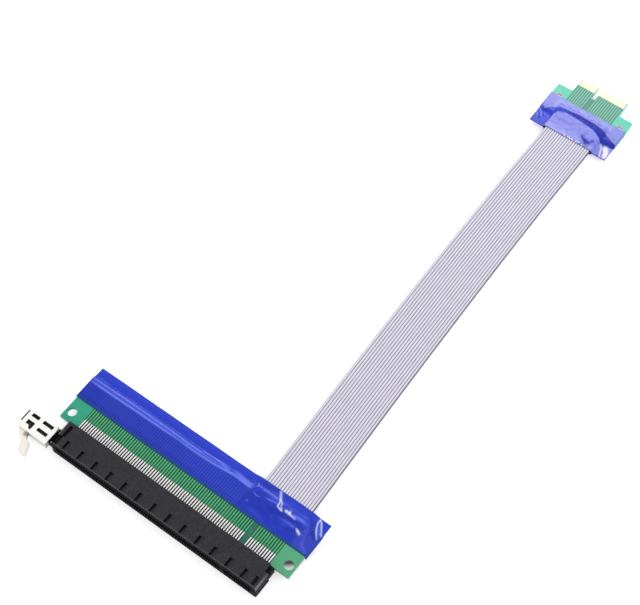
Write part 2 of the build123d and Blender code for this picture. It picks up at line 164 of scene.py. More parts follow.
def fade(tree, value, low, high, at_low=0.0, at_high=1.0):
    """at_low below low, at_high above high, and a smooth change between."""
    node = tree.nodes.new("ShaderNodeMapRange")
    node.interpolation_type = "SMOOTHSTEP"
    limits = {"From Min": low, "From Max": high, "To Min": at_low, "To Max": at_high}
    for name, number in limits.items():
        node.inputs[name].default_value = number
    tree.links.new(value, node.inputs["Value"])
    return node.outputs["Result"]


def between(work, value, low, high):
    """1 where the value lies between the two, else 0."""
    return work("MULTIPLY", work("GREATER_THAN", value, low), work("LESS_THAN", value, high))


def within(work, x, y, low, high):
    """1 inside a rectangle given by its low and high corner, else 0."""
    return work("MULTIPLY", between(work, x, low[0], high[0]), between(work, y, low[1], high[1]))


def squared_reach(work, x, y, centre):
    """Square of the distance from a centre, seen from above."""
    off_x, off_y = work("SUBTRACT", x, centre[0]), work("SUBTRACT", y, centre[1])
    return work("ADD", work("POWER", off_x, 2.0), work("POWER", off_y, 2.0))


def contact_comb(work, x):
    """1 in line with each of the slot's contacts, and -1 midway between two."""
    return work("COSINE", work("MULTIPLY", work("SUBTRACT", x, 0.5), 2 * pi))


def place_of(tree):
    """Place on the piece in millimetres, as x, y and z."""
    work = arithmetic(tree)
    split = tree.nodes.new("ShaderNodeSeparateXYZ")
    place = next(node for node in tree.nodes if node.bl_idname == "ShaderNodeTexCoord")
    tree.links.new(place.outputs["Object"], split.inputs["Vector"])
    return [work("MULTIPLY", split.outputs[axis], 1000.0) for axis in "XYZ"]


def recolour(material, share, colour):
    """Turns the finish towards another colour by a share that varies over the piece."""
    tree = material.node_tree
    socket = tree.nodes["Principled BSDF"].inputs["Base Color"]
    before = socket.links[0].from_socket
    blend = tree.nodes.new("ShaderNodeMix")
    blend.data_type = "RGBA"
    tree.links.new(share, blend.inputs["Factor"])
    tree.links.new(before, blend.inputs["A"])
    blend.inputs["B"].default_value = colour
    tree.links.new(blend.outputs["Result"], socket)


def finish(name, colour, roughness, metallic=0.0, drift=0.05, grain=700.0, relief=0.0, shine=0.5):
    """A colour that drifts a little over the surface, with fine relief from the same grain."""
    material = bpy.data.materials.new(name)
    material.use_nodes = True
    nodes, links = material.node_tree.nodes, material.node_tree.links
    shader = nodes["Principled BSDF"]
    shader.inputs["Metallic"].default_value = metallic
    shader.inputs["Specular IOR Level"].default_value = shine
    place = nodes.new("ShaderNodeTexCoord")
    speckle = nodes.new("ShaderNodeTexNoise")
    speckle.inputs["Scale"].default_value = grain
    speckle.inputs["Detail"].default_value = 3.0
    links.new(place.outputs["Object"], speckle.inputs["Vector"])
    shades = nodes.new("ShaderNodeValToRGB")
    shades.color_ramp.elements[0].position = 0.3
    shades.color_ramp.elements[1].position = 0.7
    shades.color_ramp.elements[0].color = mix(colour, (0, 0, 0, 1), drift)
    shades.color_ramp.elements[1].color = mix(colour, (1, 1, 1, 1), drift * 0.6)
    links.new(speckle.outputs["Fac"], shades.inputs["Fac"])
    links.new(shades.outputs["Color"], shader.inputs["Base Color"])
    gloss = nodes.new("ShaderNodeMapRange")
    gloss.inputs["To Min"].default_value = max(0.03, roughness - 0.06)
    gloss.inputs["To Max"].default_value = min(1.0, roughness + 0.06)
    links.new(speckle.outputs["Fac"], gloss.inputs["Value"])
    links.new(gloss.outputs["Result"], shader.inputs["Roughness"])
    if relief:
        bump = nodes.new("ShaderNodeBump")
        bump.inputs["Strength"].default_value = relief
        bump.inputs["Distance"].default_value = 0.00005  # in metres
        links.new(speckle.outputs["Fac"], bump.inputs["Height"])
        links.new(bump.outputs["Normal"], shader.inputs["Normal"])
    return material


def toned_finish(name, roughness):
    """A finish whose colour is painted on the piece, point by point, as its tone."""
    material = finish(name, (1, 1, 1, 1), roughness, grain=260.0, shine=0.3)
    nodes, links = material.node_tree.nodes, material.node_tree.links
    tone = nodes.new("ShaderNodeVertexColor")
    tone.layer_name = "tone"
    blend = nodes.new("ShaderNodeMix")
    blend.data_type = "RGBA"
    blend.blend_type = "MULTIPLY"
    blend.inputs["Factor"].default_value = 1.0
    shades = next(node for node in nodes if node.bl_idname == "ShaderNodeValToRGB")
    links.new(tone.outputs["Color"], blend.inputs["A"])
    links.new(shades.outputs["Color"], blend.inputs["B"])
    links.new(blend.outputs["Result"], nodes["Principled BSDF"].inputs["Base Color"])
    return material


def moulded_housing():
    """Black plastic, open faces dark grey, with painted shade: blacker in every cavity, notch and
    pocket, and painted highlights on its edges.
    """
    material = finish("housing_black", linear(51, 51, 55), 0.5, drift=0.03, grain=1800,
                      relief=0.02, shine=0.01)
    tree = material.node_tree
    work = arithmetic(tree)
    x, y, z = place_of(tree)
    off_middle = work("ABSOLUTE", work("SUBTRACT", z, SLOT_MID_Z))
    from_flank = work("SUBTRACT", HOUSING_HALF_Z, off_middle)
    from_end = work("SUBTRACT", HOUSING_HALF_X, work("ABSOLUTE", x))
    from_front = work("ADD", y, HOUSING_HALF_Y)
    from_back = work("SUBTRACT", HOUSING_HALF_Y, y)
    from_chamfer = work("SUBTRACT", work("ADD", from_flank, from_end), END_CHAMFER)
    depth = work("MINIMUM", from_flank, from_end, from_front, from_back, from_chamfer)
    # painted shade, deeper the further a point lies inside the outer faces
    near_face = fade(tree, depth, 0.02, 0.25, 0.0, 0.66)
    hollow = work("MAXIMUM", near_face, fade(tree, depth, 0.6, 1.6, 0.0, 0.95))

    # painted shade: each wedge notch is a dark bar at its steep wall, and lighter towards the key
    past_wall = work("FLOORED_MODULO", work("SUBTRACT", x, NOTCH_START_X), NOTCH_PITCH)
    along_notch = work("MULTIPLY", fade(tree, y, -4.65, -4.45), fade(tree, y, -1.15, -0.98, 1.0, 0.0))
    in_row = within(work, x, from_flank, (NOTCH_START_X - 0.1, -0.1), (-NOTCH_START_X, 0.76))
    in_notch = work("MULTIPLY", along_notch, in_row, work("LESS_THAN", past_wall, 2.6))
    bar = work("MULTIPLY", fade(tree, past_wall, 0.7, 1.15, 0.82, 0.26),
               fade(tree, past_wall, 1.0, 2.6, 1.0, 0.0))
    hollow = work("MULTIPLY", hollow, work("SUBTRACT", 1.0, in_notch))
    hollow = work("MAXIMUM", hollow, work("MULTIPLY", bar, in_notch))

    # painted shade: the mouth's face is dark, less so on its lower ribs, and darkest in stripes along
    # its rim, in line with the contacts
    on_front = fade(tree, from_front, 0.0, 0.06, 1.0, 0.0)
    lower_ribs = work("MULTIPLY", fade(tree, z, 0.7, 1.0, 0.0, 0.45), fade(tree, z, 2.7, 3.0, 1.0, 0.0))
    face = work("MULTIPLY", on_front, work("SUBTRACT", 0.88, lower_ribs))
    off_row = work("ABSOLUTE", work("SUBTRACT", x, 0.25))
    rim_stripe_shade = work("MULTIPLY", fade(tree, contact_comb(work, x), -0.1, 0.4, 0.0, 0.85),
                    fade(tree, off_row, 41.6, 42.1, 1.0, 0.0),
                    fade(tree, from_front, 0.12, 0.3, 1.0, 0.0), fade(tree, z, 5.2, 6.4))

    # painted shade: an end's face is black below its lit upper edge, less so in one band
    on_end = fade(tree, from_end, 0.01, 0.04, 1.0, 0.0)
    band = work("MULTIPLY", fade(tree, z, 2.4, 2.7, 0.0, 0.9), fade(tree, z, 4.1, 4.4, 1.0, 0.0))
    end_face = work("MULTIPLY", fade(tree, z, 5.4, 5.7, 0.93, 0.0), work("SUBTRACT", 1.0, band), on_end)
    recolour(material, work("MAXIMUM", hollow, face, rim_stripe_shade, end_face), linear(4, 4, 5))

    # painted highlights: the flank's front edge and an end's upper edge catch the light
    front_edge = work("MULTIPLY", fade(tree, from_front, 0.3, 0.9, 0.14, 0.0),
                      fade(tree, from_front, 0.15, 0.3), fade(tree, from_flank, 0.02, 0.05, 1.0, 0.0))
    end_edge = work("MULTIPLY", fade(tree, from_chamfer, 0.0, 0.05, 1.0, 0.0),
                    fade(tree, from_end, 0.45, 0.52, 1.0, 0.0),
                    fade(tree, from_flank, 0.45, 0.5, 1.0, 0.0))
    end_edge = work("MAXIMUM", end_edge, work("MULTIPLY", on_end, fade(tree, z, 5.5, 5.8)))
    end_edge = work("MULTIPLY", end_edge, 0.44, fade(tree, y, -4.0, 3.0, 1.0, 0.2))
    recolour(material, work("MAXIMUM", front_edge, end_edge), linear(160, 160, 166))
    return material


# Where the hook grows out of the latch's body, the middle of a painted shadow
HOOK_ROOT = (-54.6, -7.0)

# The latch's pockets and its slit, drawn a little large, as they look in the photo
LATCH_OPENINGS = (
    ((-52.43, -0.78), (-47.97, 0.58)),
    ((-52.43, -4.08), (-47.97, -2.72)),
    ((-57.48, -0.78), (-54.22, 0.58)),
    ((-59.55, -4.05), (-59.05, 0.55)),
)


def moulded_latch():
    """White plastic, with painted shade: darker cream on its sides and hook, a shadow at the hook's
    root, and dark inside its cored pockets and slit.
    """
    material = finish("latch_white", linear(255, 254, 251), 0.38, drift=0.02, grain=400, relief=0.05)
    tree = material.node_tree
    work = arithmetic(tree)
    x, y, z = place_of(tree)
    off_middle = work("ABSOLUTE", work("SUBTRACT", z, SLOT_MID_Z))
    # painted shade: the sides and hook are darker cream, with a painted shadow at the hook's root
    below_face = fade(tree, off_middle, LATCH_HALF - 0.03, LATCH_HALF - 0.01, 1.0, 0.0)
    recolour(material, work("MULTIPLY", below_face, 0.8), linear(212, 206, 198))
    hook = work("MULTIPLY", fade(tree, y, -6.4, -6.0, 1.0, 0.0), fade(tree, y, -14.0, -7.0, 1.0, 0.75))
    recolour(material, hook, linear(250, 244, 236))
    root_shadow = fade(tree, squared_reach(work, x, y, HOOK_ROOT), 0.1, 1.6, 0.75, 0.0)
    recolour(material, work("MULTIPLY", below_face, root_shadow), linear(112, 100, 90))
    # painted shade inside the cored pockets and slit
    openings = work("MULTIPLY", within(work, x, y, (-57.48, -5.18), (-47.97, 0.58)),
                    work("LESS_THAN", off_middle, LATCH_HALF - 0.01))
    for low, high in LATCH_OPENINGS:
        openings = work("MAXIMUM", openings, within(work, x, y, low, high))
    on_body = work("GREATER_THAN", off_middle, 0.3)
    recolour(material, work("MULTIPLY", openings, on_body), linear(42, 40, 36))
    return material


def plated_contact():
    """Tin on the tails, and dark on the blades inside the housing, as painted shade in its cavities."""
    material = finish("tin_plate", linear(255, 255, 255), 0.34, drift=0.02, grain=1200, relief=0.1)
    tree = material.node_tree
    recolour(material, fade(tree, place_of(tree)[1], 4.4, 5.2, 1.0, 0.0), linear(46, 36, 20))
    return material


def soldered_pad():
    """Tin, darkened with painted shade at the two long edges, where the solder runs out thin."""
    material = finish("solder_on_pads", linear(252, 252, 251), 0.4, drift=0.04, grain=1400, relief=0.2)
    tree = material.node_tree
    comb = contact_comb(arithmetic(tree), place_of(tree)[0])
    recolour(material, fade(tree, comb, 0.0, 0.25, 0.95, 0.0), linear(24, 30, 28))
    return material


def green_mask():
    """Green solder mask, bluer towards the latch and yellower towards the key, with painted shade in
    the key end's hole and painted shade and light on the front edge.
    """
    material = finish("solder_mask_teal", linear(0, 160, 126), 0.3, drift=0.04, grain=300)
    tree = material.node_tree
    work = arithmetic(tree)
    x, y, z = place_of(tree)
    recolour(material, fade(tree, x, -46.0, 46.0), linear(82, 168, 122))

    # painted shade: the wall of the key end's hole is dark
    off_middle = work("ABSOLUTE", work("SUBTRACT", z, SLOT_MID_Z))
    wall = fade(tree, off_middle, BOARD_HALF - 0.03, BOARD_HALF - 0.01, 1.0, 0.0)
    at_hole = work("MULTIPLY", fade(tree, x, 45.0, 45.2), fade(tree, x, 49.6, 49.9, 1.0, 0.0))
    recolour(material, work("MULTIPLY", wall, at_hole), linear(10, 18, 14))

    # painted shade and light: the board's front edge is dark in its upper half and pale in its lower
    front = work("LESS_THAN", y, SLOT_FRONT_Y + 0.03)
    upper = work("MULTIPLY", front, fade(tree, z, 3.9, 4.2, 0.0, 0.8))
    lower = work("MULTIPLY", front, fade(tree, z, 3.6, 3.9, 0.7, 0.0))
    recolour(material, upper, linear(20, 84, 62))
    recolour(material, lower, linear(176, 204, 188))
    return material


# An ear hole's middle, from the plug's middle line, and a reach just past its wall
EAR_HOLE = (13.8, PLUG_REAR_Y + 7.9)
EAR_HOLE_REACH = 1.64


def pale_mask():
    """The plug board's pale green solder mask, with painted light making the walls of its two holes
    white.
    """
    material = finish("solder_mask_pale", linear(64, 202, 172), 0.3, drift=0.04, grain=300)
    tree = material.node_tree
    work = arithmetic(tree)
    x, y, _ = place_of(tree)
    from_line = work("ABSOLUTE", work("SUBTRACT", x, PLUG_X))
    reach = work("SQRT", squared_reach(work, from_line, y, EAR_HOLE))
    # painted light: the holes' walls are white
    recolour(material, work("LESS_THAN", reach, EAR_HOLE_REACH), linear(252, 253, 252))
    return material


HOUSING_BLACK = moulded_housing()
LATCH_WHITE = moulded_latch()
# painted shade for the floors of the latch's pockets
LATCH_POCKET_SHADE = finish("latch_pocket_shade", linear(40, 38, 35), 0.8, drift=0.1, shine=0.2)
MASK_TEAL = green_mask()
MASK_DARK = finish("solder_mask_dark", linear(0, 90, 46), 0.32, drift=0.06, grain=500, shine=0.08)
# solder mask, painted near black as shade between the slot's pads
PAD_GAP_SHADE = finish("solder_mask_painted_shade_between_pads", linear(0, 4, 2), 0.7, drift=0.1, grain=500, shine=0.0)
MASK_TRACE = finish("solder_mask_on_copper", linear(88, 180, 132), 0.3, drift=0.05, grain=900,
                    shine=0.12)
MASK_KEY = finish("solder_mask_key_bar", linear(0, 106, 86), 0.32, drift=0.05, grain=400)
MASK_PALE = pale_mask()
MASK_PLUG = finish("solder_mask_plug", linear(34, 132, 106), 0.32, drift=0.05, grain=500)
MASK_PLUG_TRACE = finish("solder_mask_plug_trace", linear(102, 186, 162), 0.3, drift=0.05, grain=900)
LAMINATE = finish("bare_laminate", linear(220, 222, 200), 0.55, drift=0.04, grain=900, relief=0.1)
GOLD = finish("gold_plate", linear(222, 212, 178), 0.3, metallic=0.3, drift=0.04, grain=800)
TIN = plated_contact()
SOLDERED_PAD = soldered_pad()
SOLDER = finish("solder_bright", linear(214, 216, 220), 0.25, metallic=0.8, drift=0.08, grain=1800,
                relief=0.3)
RIBBON_GREY = toned_finish("ribbon_grey", 0.46)
FILM_BLUE = toned_finish("film_blue", 0.16)

FINISHES = {
    "slot_housing": HOUSING_BLACK,
    "slot_latch": LATCH_WHITE,
    "slot_board": MASK_TEAL,
    "plug_board": MASK_PALE,
}
for _, word in SIDES:
    FINISHES[f"slot_contacts_{word}"] = TIN
    FINISHES[f"slot_pads_{word}"] = SOLDERED_PAD
    FINISHES[f"slot_wire_joints_{word}"] = SOLDER
    FINISHES[f"plug_wire_joints_{word}"] = SOLDER
    FINISHES[f"plug_fingers_{word}"] = GOLD
for node, material in FINISHES.items():
    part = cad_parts[node]
    for place in part.material_slots:
        place.material = material


def add_piece(name, shape, material, body, smooth=False):
    """Turns a bmesh in millimetres into a piece that rides on a body."""
    bmesh.ops.scale(shape, vec=(MM, MM, MM), verts=shape.verts)
    mesh = bpy.data.meshes.new(name)
    shape.to_mesh(mesh)
    shape.free()
    mesh.materials.append(material)
    for face in mesh.polygons:
        face.use_smooth = smooth
    piece = bpy.data.objects.new(name, mesh)
    bpy.context.scene.collection.objects.link(piece)
    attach(piece, body)
    return piece


def add_block(shape, low, high):
    """A rectangular block between two corners."""
    middle = [(a + b) / 2 for a, b in zip(low, high)]
    size = [b - a for a, b in zip(low, high)]
    placed = Matrix.Translation(middle) @ Matrix.Diagonal((*size, 1))
    bmesh.ops.create_cube(shape, size=1.0, matrix=placed)


# Ribbons: part.py's route. A run is a distance along the ribbon from its cut end on the slot's
# board: there it is level at first, then down at the middle plane, then level until it is free.
SHELF_END = 2.0
STEP_END = 5.2
LEVEL_END = 9.2
RUN_LENGTH = hypot(RIBBON_END[1] - RIBBON_START[1], RIBBON_END[0] - RIBBON_START[0])
RUN_X = (RIBBON_END[0] - RIBBON_START[0]) / RUN_LENGTH
RUN_Y = (RIBBON_END[1] - RIBBON_START[1]) / RUN_LENGTH
ACROSS = Vector((RUN_Y, -RUN_X, 0))

# The free stretch: share of its length, and height
ARCH = (
    (0.04, 4.1),
    (0.12, 5.0),
    (0.28, 6.4),
    (0.48, 7.1),
    (0.67, 6.6),
    (0.83, 4.9),
    (0.92, 3.2),
    (0.97, 2.25),
)


def ribbon_points(side):
    """The route's control points in metres, slot end first."""
    lift = side * (WIRE_RADIUS + RIBBON_GAP / 2)
    on_board = side * (BOARD_HALF + RIBBON_GAP + WIRE_RADIUS)
    free_length = RUN_LENGTH - 2 * LEVEL_END
    start_x, start_y = RIBBON_START
    route = [(0, SLOT_MID_Z + on_board), (SHELF_END, SLOT_MID_Z + on_board),
             (STEP_END, SLOT_MID_Z + lift), (LEVEL_END, SLOT_MID_Z + lift)]
    route += [(LEVEL_END + share * free_length, height + lift) for share, height in ARCH]
    route += [(RUN_LENGTH - LEVEL_END, PLUG_MID_Z + lift), (RUN_LENGTH - STEP_END, PLUG_MID_Z + lift),
              (RUN_LENGTH - SHELF_END, PLUG_MID_Z + on_board), (RUN_LENGTH, PLUG_MID_Z + on_board)]
    return [Vector((start_x + RUN_X * run, start_y + RUN_Y * run, z)) * MM for run, z in route]


def smooth_line(points, steps):
    """Points along the smooth curve that the control points pull into shape, in metres."""
    data = bpy.data.curves.new("ribbon_route", "CURVE")
    data.dimensions = "3D"
    spline = data.splines.new("NURBS")
    spline.points.add(len(points) - 1)
    for point, place in zip(spline.points, points):
        point.co = (*place, 1.0)
    spline.order_u = 3
    spline.use_endpoint_u = True
    spline.resolution_u = steps
    route = bpy.data.objects.new("ribbon_route", data)
    bpy.context.scene.collection.objects.link(route)
    bpy.context.view_layer.update()
    mesh = bpy.data.meshes.new_from_object(route)
    line = [v.co.copy() for v in mesh.vertices]
    bpy.data.objects.remove(route)
    bpy.data.curves.remove(data)
    bpy.data.meshes.remove(mesh)
    return line


WEB_HALF = 0.16
ARC_STEPS = 6
RIDGE_REACH = 0.97  # each ridge takes this share of the wires' pitch


def ribbon_section():
    """One ribbon's outline, as (across, up): a round ridge for each wire, joined by thin webs."""
    top = []
    for wire in range(WIRE_COUNT):
        middle = (wire - (WIRE_COUNT - 1) / 2) * WIRE_PITCH
        for step in range(ARC_STEPS):
            turn = pi * (step + 0.5) / ARC_STEPS
            across = middle - cos(turn) * WIRE_PITCH / 2 * RIDGE_REACH
            top.append((across, max(WEB_HALF, sin(turn) * WIRE_RADIUS)))
    bottom = [(across, -up) for across, up in reversed(top)]
    return top + bottom


def ribbon_tone(across, up, run):
    """Lavender grey: pale on the ridges, with painted shade in the grooves and along both edges, and a
    faint drift along the run.
    """
    ridge = ease(WEB_HALF + 0.02, WIRE_RADIUS * 0.8, abs(up))
    wander = 0.5 + 0.5 * noise.noise((across * 0.9, run * 0.06, 0.0))
    groove = mix(linear(28, 24, 44), linear(96, 90, 116), wander)
    shade = mix(groove, linear(234, 230, 245), ridge)
    shade = mix(shade, linear(196, 192, 212), 0.16 * wander)
    # painted shade along both outer edges
    at_edge = ease(RIBBON_HALF - 0.35, RIBBON_HALF - 0.1, abs(across))
    return mix(shade, linear(84, 80, 98), 0.8 * at_edge)


def shaped_grid(across_count, along_count, place, tone_of):
    """A grid of quads whose points are set, and toned, by their column and row."""
    shape = bmesh.new()
    tone = shape.verts.layers.float_color.new("tone")
    bmesh.ops.create_grid(shape, x_segments=across_count, y_segments=along_count, size=1.0)
    shape.verts.ensure_lookup_table()
    for index, vert in enumerate(shape.verts):
        row, column = divmod(index, across_count + 1)
        vert.co = place(column, row)
        vert[tone] = tone_of(column, row)
    return shape


ROUTE_STEPS = 12  # for each control point


def make_ribbon(side, word):
    line = smooth_line(ribbon_points(side), ROUTE_STEPS)
    section = ribbon_section()
    runs = [0.0]
    for before, after in zip(line, line[1:]):
        runs.append(runs[-1] + (after - before).length / MM)
    lifts = []
    for index in range(len(line)):
        before, after = line[max(0, index - 1)], line[min(len(line) - 1, index + 1)]
        lifts.append(ACROSS.cross((after - before).normalized()).normalized())

    def place(column, row):
        across, up = section[column % len(section)]
        return line[row] / MM + ACROSS * across + lifts[row] * up

    def tone_of(column, row):
        across, up = section[column % len(section)]
        return ribbon_tone(across, up, runs[row])

    shape = shaped_grid(len(section), len(line) - 1, place, tone_of)
    bmesh.ops.remove_doubles(shape, verts=shape.verts, dist=0.0005)
    ends = [edge for edge in shape.edges if edge.is_boundary]
    bmesh.ops.holes_fill(shape, edges=ends, sides=0)
    bmesh.ops.recalc_face_normals(shape, faces=shape.faces)
    ribbon = add_piece(f"ribbed_ribbon_{word}", shape, RIBBON_GREY, "riser", smooth=True)
    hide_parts(f"ribbon_{word}")
    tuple(line[0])
    return line


ribbon_lines = {word: make_ribbon(side, word) for side, word in SIDES}


# Film over the wire joints. Heights are from a board's middle plane, outwards.
FILM_THICKNESS = 0.12
FILM_CLEAR = 0.08
STUCK_CLEAR = 0.02
JOINT_RIPPLE = 0.13
# How far from the ribbon's edge the film comes down to the board
SLOT_TENT = 4.5
PLUG_TENT = 1.5


def ribbon_rise(word, y, mid_z):
    """How far the ribbon's outer face stands from the board's middle plane at y."""
    line = ribbon_lines[word]
    y = min(line[-1].y, max(line[0].y, y * MM))
    for before, after in zip(line, line[1:]):
        if before.y <= y <= after.y:
            share = (y - before.y) / (after.y - before.y)
            return abs((before.z + (after.z - before.z) * share) / MM - mid_z) + WIRE_RADIUS
    raise ValueError(f"no ribbon at {y}")


def ribbon_middle(y):
    return RIBBON_START[0] + RUN_X / RUN_Y * (y - RIBBON_START[1])


def film_height(word, x, y, rear_y, away, mid_z, tent):
    """The film's inner face: stuck to the board, over the wires, then down to the middle plane."""
    beyond = (y - rear_y) * away
    sheet = BOARD_HALF * (1 - ease(0.1, 1.9, beyond)) + STUCK_CLEAR
    cut = -RIBBON_OVERLAP
    wires = ribbon_rise(word, y, mid_z) + FILM_CLEAR
    past_joints = ease(cut - JOINT_LENGTH - 1.0, cut + 0.1, beyond)
    joint_top = BOARD_HALF + (wires - BOARD_HALF) * past_joints
    over = joint_top if beyond < cut else wires
    across = x - ribbon_middle(y)
    on_wires = 1 - ease(RIBBON_HALF + 0.15, RIBBON_HALF + tent, abs(across))
    if beyond < cut + 0.3:
        ripple = 0.5 + 0.5 * cos(2 * pi * across / WIRE_PITCH)
        over += JOINT_RIPPLE * ripple * inside(cut - JOINT_LENGTH, cut - 0.3, 0.5, beyond)
    return sheet + max(0.0, over - sheet) * on_wires


def lay_film(name, side, mid_z, low, high, step, height, tone_of, node):
    """A sheet of film over one face of a board, from its height and its tone at each place."""
    columns = round((high[0] - low[0]) / step)
    rows = round((high[1] - low[1]) / step)

    def spot(column, row):
        x = low[0] + (high[0] - low[0]) * column / columns
        y = low[1] + (high[1] - low[1]) * row / rows
        return (x, y)

    def place(column, row):
        x, y = spot(column, row)
        return (x, y, mid_z + side * height(x, y))

    shape = shaped_grid(columns, rows, place, lambda column, row: tone_of(*spot(column, row)))
    if side < 0:
        bmesh.ops.reverse_faces(shape, faces=shape.faces)
    film = add_piece(name, shape, FILM_BLUE, "riser", smooth=True)
    thickness = film.modifiers.new("film_thickness", "SOLIDIFY")
    thickness.thickness = FILM_THICKNESS * MM
    thickness.offset = 1.0
    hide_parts(node)


# Slot film: its low and high corner, the size of a quad, and its colours
SLOT_FILM_LOW = (-50.5, 14.5)
SLOT_FILM_HIGH = (50.5, 28.8)
SLOT_FILM_STEP = 0.25
BLUE_FREE = linear(32, 59, 201)
BLUE_ON_BOARD = linear(24, 52, 184)
BLUE_ON_TRACE = linear(46, 74, 208)
BLUE_ON_JOINTS = linear(22, 50, 192)
BLUE_KEY_END = linear(60, 76, 196)
BLUE_OVER_GREEN = linear(14, 72, 128)
BLUE_SHADE = linear(20, 34, 160)
BLUE_LIT = linear(114, 132, 252)
BLUE_HAZE = linear(84, 102, 230)
BLUE_EDGE = linear(20, 22, 92)
GLINT = linear(232, 238, 255)

SLOT_FOLDS = (
    # height, then the line
    (0.28, soft_line(0.45, (30.0, 27.4, 1), (31.6, 25.4, 1), (32.0, 23.4, 1), (34.2, 22.6, 1))),
    (0.40, soft_line(0.40, (34.7, 23.4, 1), (39.1, 22.9, 0.6))),
    (0.30, soft_line(0.45, (41.4, 20.6, 1), (43.9, 19.4, 1))),
    (0.40, soft_line(0.32, (46.0, 27.4, 1), (46.8, 25.1, 1), (47.9, 23.5, 1), (49.3, 21.9, 0.6))),
    (0.35, soft_line(0.32, (46.9, 27.6, 1), (48.3, 25.9, 1), (49.4, 24.4, 0.7))),
    (0.30, soft_line(1.10, (12.0, 24.6, 1), (21.0, 24.2, 1))),
    (0.10, soft_line(0.30, (21.5, 19.2, 1), (24.0, 18.6, 1))),
)
SLOT_LIGHTS = (
    # painted highlights, reflections, glints and shade: colour, then the line
    (BLUE_HAZE, soft_line(0.9, (-50, 23.1, 0.3), (-40, 23.2, 0.4), (0, 23.5, 0.4), (10, 23.9, 0.3))),
    (BLUE_LIT, soft_line(0.8, (11.8, 25.0, 0.2), (14.5, 24.8, 0.7), (17.5, 24.3, 0.85),
                         (20.0, 23.9, 0.7), (21.6, 23.6, 0))),
    (BLUE_LIT, soft_line(0.36, (-50, 22.3, 0.5), (-46, 22.3, 1), (-30, 22.5, 1), (-16, 22.7, 0.9),
                         (-11, 22.8, 0.5), (-4, 22.6, 0.85), (5, 22.9, 0.9), (13, 23.7, 0.9),
                         (20, 23.4, 0.9), (21.5, 23.2, 0))),
    (BLUE_LIT, soft_line(0.3, (-50, 23.7, 0.5), (-36, 24.0, 0.85), (-16, 24.1, 0.75),
                         (-6, 23.7, 0.6), (-1, 23.9, 0.6))),
    (BLUE_LIT, soft_line(0.26, (-1, 24.7, 0.8), (5, 25.0, 0.8), (8, 25.4, 0.6), (11.5, 25.6, 0))),
    (BLUE_LIT, soft_line(0.3, (3, 25.0, 0.3), (8.2, 24.5, 1), (10.3, 24.4, 0.9))),
    (BLUE_SHADE, soft_line(0.8, (21.5, 26.6, 0.2), (24, 27.3, 0.7), (28, 27.6, 0.6))),
    (BLUE_LIT, soft_line(0.25, (22.2, 22.6, 0.2), (23.8, 22.0, 0.7), (25.0, 22.2, 0.3))),
    (BLUE_SHADE, soft_line(0.4, (23.0, 24.6, 0.2), (25.2, 24.0, 0.7), (27.5, 24.2, 0.4))),
    (BLUE_SHADE, soft_line(0.8, (25, 21.0, 0), (30, 21.4, 0.6), (39, 21.7, 0.7), (41, 22.2, 0.3))),
    (BLUE_SHADE, soft_line(0.6, (43.5, 26.6, 0.2), (46.2, 24.0, 0.8), (48.2, 21.4, 0.7))),
    (BLUE_HAZE, soft_line(0.8, (28.3, 25.2, 0.2), (30.4, 25.4, 0.6))),
    (BLUE_LIT, soft_line(0.25, (27.0, 23.2, 0.1), (28.5, 23.4, 0.8), (31.0, 23.8, 0.7))),
    (BLUE_HAZE, soft_line(0.5, (33.6, 20.3, 0), (37.5, 20.5, 0.7), (40.8, 20.5, 1))),
    (BLUE_LIT, soft_line(0.6, (38.8, 23.6, 0.7), (41.5, 23.9, 0.8), (44.5, 23.4, 0.2))),
    (BLUE_LIT, soft_line(0.4, (36.2, 24.9, 0.4), (36.8, 24.0, 0.6))),
    (BLUE_HAZE, soft_line(0.5, (45.5, 20.5, 0.1), (46.5, 17.0, 0.6), (49.0, 15.5, 0.4))),
    (BLUE_HAZE, soft_line(0.7, (47.3, 26.6, 0.6), (49.2, 23.6, 0.6))),
    (BLUE_LIT, soft_line(0.25, (22.0, 19.0, 0.6), (22.4, 18.9, 0.6))),
    (GLINT, soft_line(0.36, (29.6, 28.4, 0.5), (30.8, 26.6, 0.7), (31.5, 25.6, 0.8))),
    (GLINT, soft_line(0.20, (31.5, 25.6, 0.9), (31.9, 24.6, 0.9), (32.0, 23.2, 1), (33.0, 22.8, 1),
                      (34.3, 22.5, 0.9))),
    (GLINT, soft_line(0.20, (31.6, 25.6, 0.8), (32.7, 24.9, 0.9), (32.9, 24.0, 0.7),
                      (34.1, 22.7, 0.9))),
    (GLINT, soft_line(0.44, (35.5, 23.4, 1), (37.0, 23.3, 0.95))),
    (GLINT, soft_line(0.22, (36.8, 23.2, 1), (39.6, 22.8, 0.5))),
    (GLINT, soft_line(0.22, (36.6, 23.6, 0.7), (36.9, 24.5, 0.2))),
    (GLINT, soft_line(0.20, (41.9, 20.5, 0.6), (42.8, 20.0, 1))),
    (GLINT, soft_line(0.36, (42.7, 20.1, 0.95), (43.7, 19.6, 0.95))),
    (GLINT, soft_line(0.20, (46.2, 28.3, 0.85), (46.3, 26.7, 0.85), (47.0, 25.0, 0.8),
                      (48.0, 23.4, 0.8), (49.5, 21.7, 0.5))),
    (GLINT, soft_line(0.22, (46.2, 28.3, 0.85), (47.1, 27.7, 0.85), (48.4, 25.8, 0.8),
                      (50.2, 23.2, 0.4))),
)


def from_edge(x, y, low, high):
    return min(x - low[0], high[0] - x, y - low[1], high[1] - y)


def folded(value, folds, x, y, low, high):
    """A film's height with its folds, which lie down again at its cut edges."""
    if folds:
        lie_down = ease(0.1, 1.3, from_edge(x, y, low, high))
        value += lie_down * sum(tall * line(x, y) for tall, line in folds)
    return value


def lit(tone, lights, x, y):
    for colour, line in lights:
        strength = line(x, y)
        if strength > 0.004:
            tone = mix(tone, colour, min(1.0, strength))
    return tone


